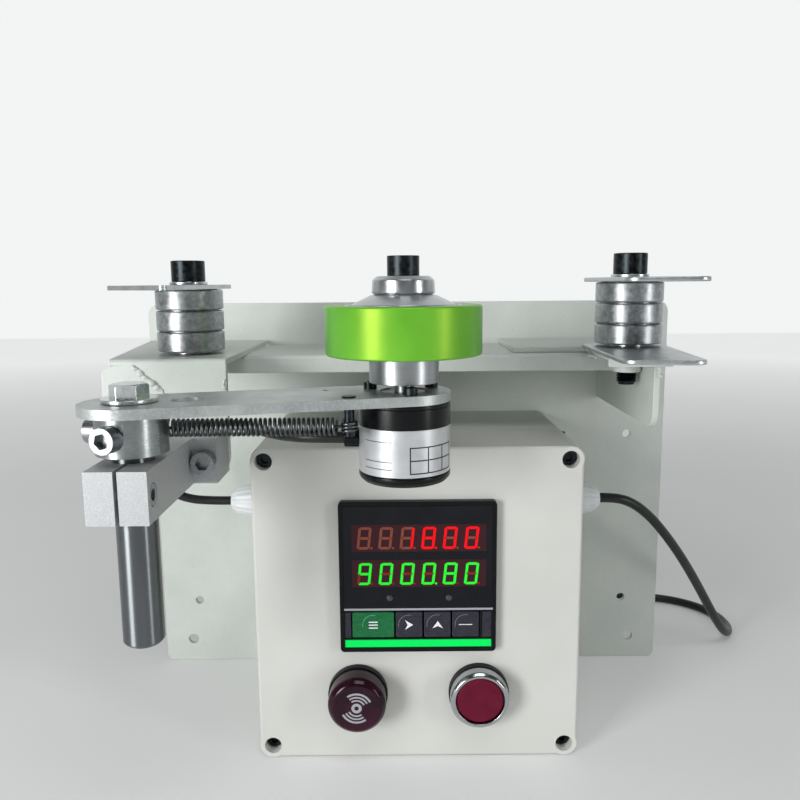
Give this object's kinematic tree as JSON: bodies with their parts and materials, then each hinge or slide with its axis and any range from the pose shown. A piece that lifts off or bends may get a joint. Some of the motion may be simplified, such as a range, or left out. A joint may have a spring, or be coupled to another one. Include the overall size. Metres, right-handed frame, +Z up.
{
  "type": "cable length counter",
  "caption": "Cable length counter: a green measuring wheel on a spring-loaded arm presses the cable against guide rollers, with a digital counter box on a wall plate.",
  "frame": {"origin": "On the table under the counter box, on the back plate's middle line, 55 mm in front of the back plate's rear face.", "axes": "+X to the right as the user faces the counter, +Y away from the user towards the wall, +Z up."},
  "size_m": [0.3755, 0.2913, 0.2507],
  "materials": {
    "powder_coat": "powder coat, light grey",
    "zinc_plate": "zinc plated",
    "black_oxide": "black oxide",
    "bearing_steel": "ground bearing steel",
    "cast_aluminium": "blasted and turned aluminium",
    "polished_rod": "polished",
    "plated_steel": "dull plated",
    "bronze": "sintered bronze",
    "spring_steel": "drawn spring wire",
    "box_plastic": "fine moulded grain",
    "black_plastic": "moulded black",
    "window_tint": "dark tinted window",
    "display_red": "numeric display blocks",
    "green_key": "moulded green",
    "buzzer_red": "translucent dark red",
    "button_chrome": "plated ring",
    "button_red": "dark red",
    "nylon": "white nylon",
    "cord_sheath": "black sheath",
    "tyre_rubber": "translucent green polyurethane",
    "gasket_rubber": "black foam seal"
  },
  "bodies": {
    "frame": {"back_plate": "powder_coat", "shelf": "powder_coat", "left_bracket": "powder_coat", "right_gusset": "powder_coat", "left_top_guide": "zinc_plate", "right_top_guide": "zinc_plate", "right_lower_guide": "zinc_plate", "plain_washers": "zinc_plate", "pivot_bolt": "zinc_plate", "roller_nuts": "zinc_plate", "roller_bolts": "black_oxide", "clamp_screws": "black_oxide", "box_screws": "black_oxide", "bearing_inner_rings": "bearing_steel", "clamp_block": "cast_aluminium", "post_rod": "polished_rod", "spring_collar": "polished_rod", "tension_spring": "spring_steel", "box_base": "box_plastic", "box_lid": "box_plastic", "meter_bezel": "black_plastic", "meter_housing": "black_plastic", "panel_nuts": "black_plastic", "contact_block": "black_plastic", "buzzer_body": "black_plastic", "power_plug": "black_plastic", "meter_window": "window_tint", "meter_display": "display_red", "buzzer_lens": "buzzer_red", "button_bezel": "button_chrome", "gland_bodies": "nylon", "gland_domes": "nylon", "power_cable": "cord_sheath", "power_cable_coil": "cord_sheath", "encoder_cable": "cord_sheath", "box_gasket": "gasket_rubber"},
    "arm": {"swing_arm": "plated_steel", "arm_bush": "bronze", "spring_post": "polished_rod", "encoder_flange": "cast_aluminium", "encoder_shell": "black_plastic", "encoder_end_cap": "black_plastic", "encoder_screws": "black_oxide"},
    "wheel": {"encoder_shaft": "polished_rod", "wheel_hub": "cast_aluminium", "wheel_tyre": "tyre_rubber", "clamp_cone": "cast_aluminium", "wheel_nut": "cast_aluminium", "wheel_bolt": "black_oxide"},
    "push_button": {"button_cap": "button_red"},
    "left_ring_bottom": {"left_roller_bottom": "bearing_steel"},
    "left_ring_middle": {"left_roller_middle": "bearing_steel"},
    "left_ring_top": {"left_roller_top": "bearing_steel"},
    "right_ring_bottom": {"right_roller_bottom": "bearing_steel"},
    "right_ring_middle": {"right_roller_middle": "bearing_steel"},
    "right_ring_top": {"right_roller_top": "bearing_steel"},
    "key_enter": {"key_enter": "green_key"},
    "key_shift": {"key_shift": "black_plastic"},
    "key_up": {"key_up": "black_plastic"},
    "key_reset": {"key_reset": "black_plastic"}
  },
  "joints": [
    {"name": "arm_swing", "type": "hinge", "parent": "frame", "child": "arm", "pos_m": [-0.1065, -0.122, 0.192], "axis": [0, 0, 1], "range_deg": [-28, 10], "stiffness_Nm_per_rad": 0.25, "deforming": ["tension_spring", "encoder_cable"]},
    {"name": "wheel_spin", "type": "hinge", "parent": "arm", "child": "wheel", "pos_m": [-0.003, -0.096, 0.2188], "axis": [0, 0, 1], "continuous": true},
    {"name": "button_press", "type": "slide", "parent": "frame", "child": "push_button", "axis": [0, 1, 0], "range_m": [0, 0.0025], "stiffness_N_per_m": 600},
    {"name": "left_ring_bottom_spin", "type": "hinge", "parent": "frame", "child": "left_ring_bottom", "pos_m": [-0.107, -0.0315, 0.2102], "axis": [0, 0, 1], "continuous": true},
    {"name": "left_ring_middle_spin", "type": "hinge", "parent": "frame", "child": "left_ring_middle", "pos_m": [-0.107, -0.0315, 0.2202], "axis": [0, 0, 1], "continuous": true},
    {"name": "left_ring_top_spin", "type": "hinge", "parent": "frame", "child": "left_ring_top", "pos_m": [-0.107, -0.0315, 0.2302], "axis": [0, 0, 1], "continuous": true},
    {"name": "right_ring_bottom_spin", "type": "hinge", "parent": "frame", "child": "right_ring_bottom", "pos_m": [0.107, -0.0315, 0.2122], "axis": [0, 0, 1], "continuous": true},
    {"name": "right_ring_middle_spin", "type": "hinge", "parent": "frame", "child": "right_ring_middle", "pos_m": [0.107, -0.0315, 0.2222], "axis": [0, 0, 1], "continuous": true},
    {"name": "right_ring_top_spin", "type": "hinge", "parent": "frame", "child": "right_ring_top", "pos_m": [0.107, -0.0315, 0.2322], "axis": [0, 0, 1], "continuous": true},
    {"name": "key_enter_press", "type": "slide", "parent": "frame", "child": "key_enter", "axis": [0, 1, 0], "range_m": [0, 0.0005], "stiffness_N_per_m": 1500},
    {"name": "key_shift_press", "type": "slide", "parent": "frame", "child": "key_shift", "axis": [0, 1, 0], "range_m": [0, 0.0005], "stiffness_N_per_m": 1500},
    {"name": "key_up_press", "type": "slide", "parent": "frame", "child": "key_up", "axis": [0, 1, 0], "range_m": [0, 0.0005], "stiffness_N_per_m": 1500},
    {"name": "key_reset_press", "type": "slide", "parent": "frame", "child": "key_reset", "axis": [0, 1, 0], "range_m": [0, 0.0005], "stiffness_N_per_m": 1500}
  ]
}
